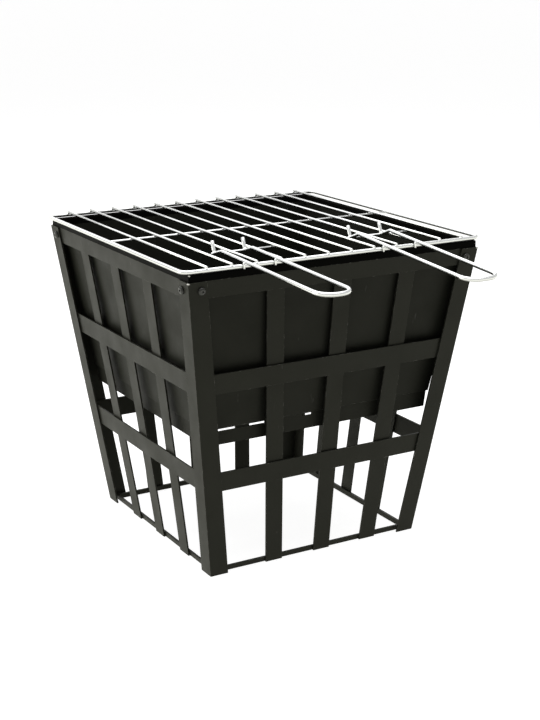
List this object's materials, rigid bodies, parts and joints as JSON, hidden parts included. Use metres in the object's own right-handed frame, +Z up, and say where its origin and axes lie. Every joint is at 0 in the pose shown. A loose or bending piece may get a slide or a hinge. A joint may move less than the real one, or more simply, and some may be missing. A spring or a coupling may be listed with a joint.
{
  "type": "fire pit",
  "caption": "Square tapered fire basket of flat steel strip with a lift-out coal pan and a wire cooking grate that has two hinged loop handles.",
  "frame": {"origin": "at ground level, in the centre of the square base of the frame", "axes": "+Z up, -Y to the front, where the handles are, +X to the right seen from the front"},
  "size_m": [0.401, 0.549, 0.3969],
  "materials": {
    "frame_paint": "satin black heat-resistant paint",
    "pan_paint": "satin black heat-resistant paint",
    "grate_chrome": "bright plated wire",
    "bolt_zinc": "zinc plated"
  },
  "bodies": {
    "frame": {"base_hoop": "frame_paint", "post_front_left": "frame_paint", "post_front_right": "frame_paint", "post_back_right": "frame_paint", "post_back_left": "frame_paint", "rail_top_front": "frame_paint", "rail_upper_front": "frame_paint", "rail_lower_front": "frame_paint", "slat_front_1": "frame_paint", "slat_front_2": "frame_paint", "slat_front_3": "frame_paint", "rail_top_right": "frame_paint", "rail_upper_right": "frame_paint", "rail_lower_right": "frame_paint", "slat_right_1": "frame_paint", "slat_right_2": "frame_paint", "slat_right_3": "frame_paint", "rail_top_back": "frame_paint", "rail_upper_back": "frame_paint", "rail_lower_back": "frame_paint", "slat_back_1": "frame_paint", "slat_back_2": "frame_paint", "slat_back_3": "frame_paint", "rail_top_left": "frame_paint", "rail_upper_left": "frame_paint", "rail_lower_left": "frame_paint", "slat_left_1": "frame_paint", "slat_left_2": "frame_paint", "slat_left_3": "frame_paint", "bolt_front_left": "bolt_zinc", "bolt_front_right": "bolt_zinc", "bolt_right_left": "bolt_zinc", "bolt_right_right": "bolt_zinc", "bolt_back_left": "bolt_zinc", "bolt_back_right": "bolt_zinc", "bolt_left_left": "bolt_zinc", "bolt_left_right": "bolt_zinc"},
    "pan": {"pan_wall_front": "pan_paint", "pan_wall_right": "pan_paint", "pan_wall_back": "pan_paint", "pan_wall_left": "pan_paint", "pan_floor": "pan_paint"},
    "grate": {"grate_ring": "grate_chrome", "grate_cross_wire": "grate_chrome", "grate_bar_01": "grate_chrome", "grate_bar_02": "grate_chrome", "grate_bar_03": "grate_chrome", "grate_bar_04": "grate_chrome", "grate_bar_05": "grate_chrome", "grate_bar_06": "grate_chrome", "grate_bar_07": "grate_chrome", "grate_bar_08": "grate_chrome", "grate_bar_09": "grate_chrome", "grate_bar_10": "grate_chrome", "grate_bar_11": "grate_chrome", "grate_bar_12": "grate_chrome"},
    "handle_left_body": {"handle_left": "grate_chrome"},
    "handle_right_body": {"handle_right": "grate_chrome"}
  },
  "joints": [
    {"name": "pan_lift", "type": "slide", "parent": "frame", "child": "pan", "axis": [0, 0, 1], "range_m": [0, 0.25]},
    {"name": "grate_lift", "type": "slide", "parent": "pan", "child": "grate", "axis": [0, 0, 1], "range_m": [0, 0.12]},
    {"name": "handle_left_tip", "type": "hinge", "parent": "grate", "child": "handle_left_body", "pos_m": [-0.10403, -0.191, 0.3813], "axis": [-1, 0, 0], "range_deg": [0, 60]},
    {"name": "handle_right_tip", "type": "hinge", "parent": "grate", "child": "handle_right_body", "pos_m": [0.08112, -0.191, 0.3813], "axis": [-1, 0, 0], "range_deg": [0, 60]}
  ]
}
